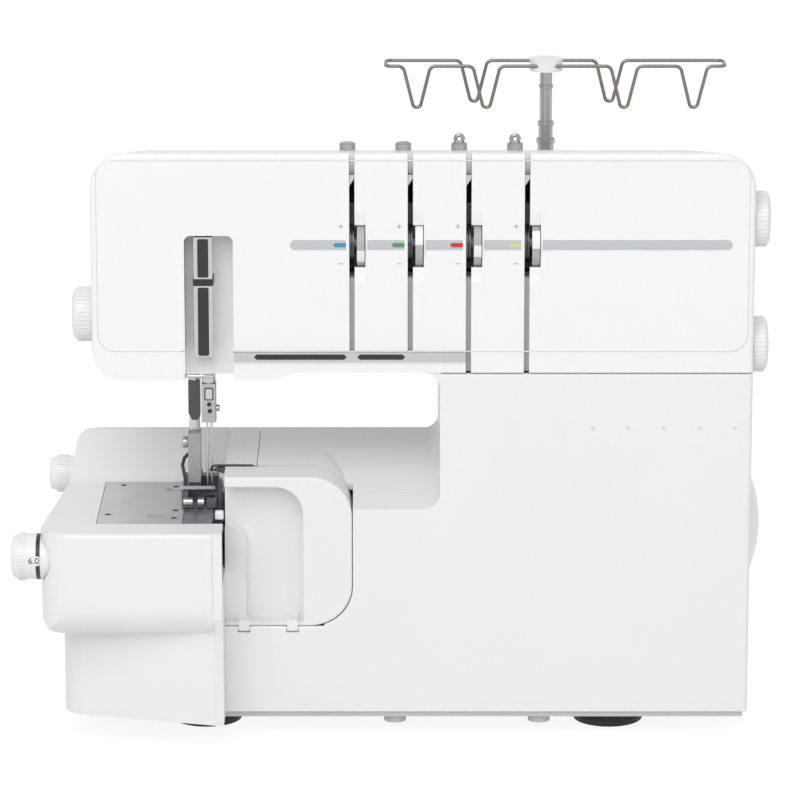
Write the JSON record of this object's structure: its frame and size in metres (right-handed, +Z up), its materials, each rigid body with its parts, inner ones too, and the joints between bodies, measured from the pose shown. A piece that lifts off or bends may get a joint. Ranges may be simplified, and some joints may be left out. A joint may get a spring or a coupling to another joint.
{
  "type": "serger overlock machine",
  "caption": "Household serger with threading arm, thumb-wheel tensions, looper door, slide-off extension table, needle, looper and knife gear, side handwheel and a telescopic thread stand.",
  "frame": {"origin": "on the table, under the middle of the machine's outline", "axes": "+X to the operator's right, +Y away from the operator, +Z up"},
  "size_m": [0.3443, 0.276, 0.29],
  "materials": {
    "white_plastic": "satin",
    "grey_plastic": "satin",
    "black_plastic": "matte",
    "clear_plastic": "frosted",
    "rubber": "matte",
    "cast_alloy": "cast",
    "steel": "brushed",
    "chrome": "polished"
  },
  "bodies": {
    "machine": {"base_front_cover": "white_plastic", "base_rear_cover": "white_plastic", "base_tray": "white_plastic", "bed_end_cover": "white_plastic", "cone_holders": "grey_plastic", "drive_belt": "rubber", "face_panels": "white_plastic", "face_thread_guides": "chrome", "lower_knife": "steel", "machine_frame": "cast_alloy", "motor": "cast_alloy", "needle_plate": "steel", "needle_plate_screws": "steel", "pole_base_tube": "chrome", "power_inlet": "black_plastic", "rubber_feet": "rubber", "sewing_light": "clear_plastic", "spool_pins": "chrome", "spool_stand": "white_plastic", "stitch_plate": "steel", "take_up_band": "black_plastic", "take_up_guards": "chrome", "tension_bracket": "steel", "tension_discs": "steel", "thread_channels": "grey_plastic", "top_thread_guides": "grey_plastic", "upper_front_cover": "white_plastic", "upper_rear_cover": "white_plastic"},
    "table": {"extension_table": "white_plastic"},
    "looper_door": {"looper_cover": "white_plastic"},
    "drive_shaft": {"handwheel": "white_plastic", "main_shaft": "steel"},
    "motor_drive": {"motor_pulley": "black_plastic"},
    "rocker": {"needle_rocker": "steel"},
    "needle_carriage": {"needle_bar": "chrome", "needle_clamp": "chrome", "needles": "chrome"},
    "lifter": {"presser_lifter": "steel"},
    "presser": {"presser_bar": "chrome", "presser_ankle": "chrome", "presser_foot": "steel"},
    "looper_upper": {"upper_looper": "steel"},
    "looper_lower": {"lower_looper": "steel"},
    "knife_upper": {"upper_knife": "steel"},
    "feed": {"feed_dogs": "steel"},
    "tension_left_needle": {"left_needle_tension_wheel": "grey_plastic"},
    "tension_right_needle": {"right_needle_tension_wheel": "grey_plastic"},
    "tension_upper_looper": {"upper_looper_tension_wheel": "grey_plastic"},
    "tension_lower_looper": {"lower_looper_tension_wheel": "grey_plastic"},
    "dial_cutting_width": {"cutting_width_dial": "white_plastic"},
    "dial_feed": {"differential_feed_dial": "white_plastic"},
    "dial_pressure": {"presser_pressure_dial": "white_plastic"},
    "dial_stitch_length": {"stitch_length_dial": "white_plastic"},
    "dial_mode": {"stitch_mode_dial": "white_plastic"},
    "pole_middle": {"pole_middle_tube": "chrome"},
    "pole_upper": {"pole_upper_rod": "chrome", "antenna_hub": "white_plastic", "antenna_wire": "chrome"},
    "switch": {"power_switch": "black_plastic"}
  },
  "joints": [
    {"name": "table_slide", "type": "slide", "parent": "machine", "child": "table", "axis": [-1, 0, 0], "range_m": [0, 0.1]},
    {"name": "looper_door_hinge", "type": "hinge", "parent": "machine", "child": "looper_door", "pos_m": [-0.058, -0.1067, 0.0511], "axis": [1, 0, 0], "range_deg": [0, 85]},
    {"name": "handwheel_turn", "type": "hinge", "parent": "machine", "child": "drive_shaft", "pos_m": [0.1605, -0.04, 0.084], "axis": [1, 0, 0], "continuous": true},
    {"name": "motor_turn", "type": "hinge", "parent": "machine", "child": "motor_drive", "pos_m": [0.146, -0.008, 0.058], "axis": [1, 0, 0], "continuous": true},
    {"name": "needle_rocker_swing", "type": "hinge", "parent": "machine", "child": "rocker", "pos_m": [-0.0843, -0.045, 0.205], "axis": [-1, 0, 0], "range_deg": [-28.6, 8.6]},
    {"name": "needle_bar_slide", "type": "slide", "parent": "machine", "child": "needle_carriage", "axis": [0, 0, 1], "range_m": [-0.02, 0.0061]},
    {"name": "presser_lifter_swing", "type": "hinge", "parent": "machine", "child": "lifter", "pos_m": [-0.104, -0.018, 0.186], "axis": [1, 0, 0], "range_deg": [-1, 36]},
    {"name": "presser_bar_slide", "type": "slide", "parent": "machine", "child": "presser", "axis": [0, 0, 1], "range_m": [0, 0.0061]},
    {"name": "upper_looper_slide", "type": "slide", "parent": "machine", "child": "looper_upper", "axis": [0.7501, 0, -0.6613], "range_m": [0, 0.014]},
    {"name": "lower_looper_swing", "type": "hinge", "parent": "machine", "child": "looper_lower", "pos_m": [-0.0623, -0.0835, 0.062], "axis": [0, 1, 0], "range_deg": [0, 18]},
    {"name": "upper_knife_swing", "type": "hinge", "parent": "machine", "child": "knife_upper", "pos_m": [-0.0793, -0.0526, 0.077], "axis": [-1, 0, 0], "range_deg": [-7, 1]},
    {"name": "feed_slide", "type": "slide", "parent": "machine", "child": "feed", "axis": [0, 1, 0], "range_m": [-0.0015, 0.0015]},
    {"name": "left_needle_tension_turn", "type": "hinge", "parent": "machine", "child": "tension_left_needle", "pos_m": [-0.01515, -0.0984, 0.2285], "axis": [1, 0, 0], "range_deg": [-150, 150]},
    {"name": "right_needle_tension_turn", "type": "hinge", "parent": "machine", "child": "tension_right_needle", "pos_m": [0.01085, -0.0984, 0.2285], "axis": [1, 0, 0], "range_deg": [-150, 150]},
    {"name": "upper_looper_tension_turn", "type": "hinge", "parent": "machine", "child": "tension_upper_looper", "pos_m": [0.03685, -0.0984, 0.2285], "axis": [1, 0, 0], "range_deg": [-150, 150]},
    {"name": "lower_looper_tension_turn", "type": "hinge", "parent": "machine", "child": "tension_lower_looper", "pos_m": [0.06285, -0.0984, 0.2285], "axis": [1, 0, 0], "range_deg": [-150, 150]},
    {"name": "cutting_width_turn", "type": "hinge", "parent": "machine", "child": "dial_cutting_width", "pos_m": [-0.16, -0.1234, 0.0899], "axis": [1, 0, 0], "range_deg": [-150, 150]},
    {"name": "differential_feed_turn", "type": "hinge", "parent": "machine", "child": "dial_feed", "pos_m": [-0.15, -0.0279, 0.1031], "axis": [1, 0, 0], "range_deg": [-120, 120]},
    {"name": "presser_pressure_turn", "type": "hinge", "parent": "machine", "child": "dial_pressure", "pos_m": [-0.14, -0.085, 0.1928], "axis": [1, 0, 0], "range_deg": [-170, 170]},
    {"name": "stitch_length_turn", "type": "hinge", "parent": "machine", "child": "dial_stitch_length", "pos_m": [0.165, -0.092, 0.238], "axis": [1, 0, 0], "range_deg": [-150, 150]},
    {"name": "stitch_mode_turn", "type": "hinge", "parent": "machine", "child": "dial_mode", "pos_m": [0.165, -0.092, 0.1805], "axis": [1, 0, 0], "range_deg": [-60, 60]},
    {"name": "pole_middle_slide", "type": "slide", "parent": "machine", "child": "pole_middle", "axis": [0, 0, 1], "range_m": [0, 0.062]},
    {"name": "pole_upper_slide", "type": "slide", "parent": "pole_middle", "child": "pole_upper", "axis": [0, 0, 1], "range_m": [0, 0.062]},
    {"name": "power_switch_rock", "type": "hinge", "parent": "machine", "child": "switch", "pos_m": [0.1515, 0.017, 0.064], "axis": [0, 1, 0], "range_deg": [-8, 8]}
  ],
  "couplings": [
    {"joint": "motor_turn", "follows": "handwheel_turn", "ratio": 2.75},
    {"joint": "needle_bar_slide", "follows": "needle_rocker_swing", "m_per_rad": 0.04},
    {"joint": "presser_lifter_swing", "follows": "presser_bar_slide", "rad_per_m": 100}
  ]
}
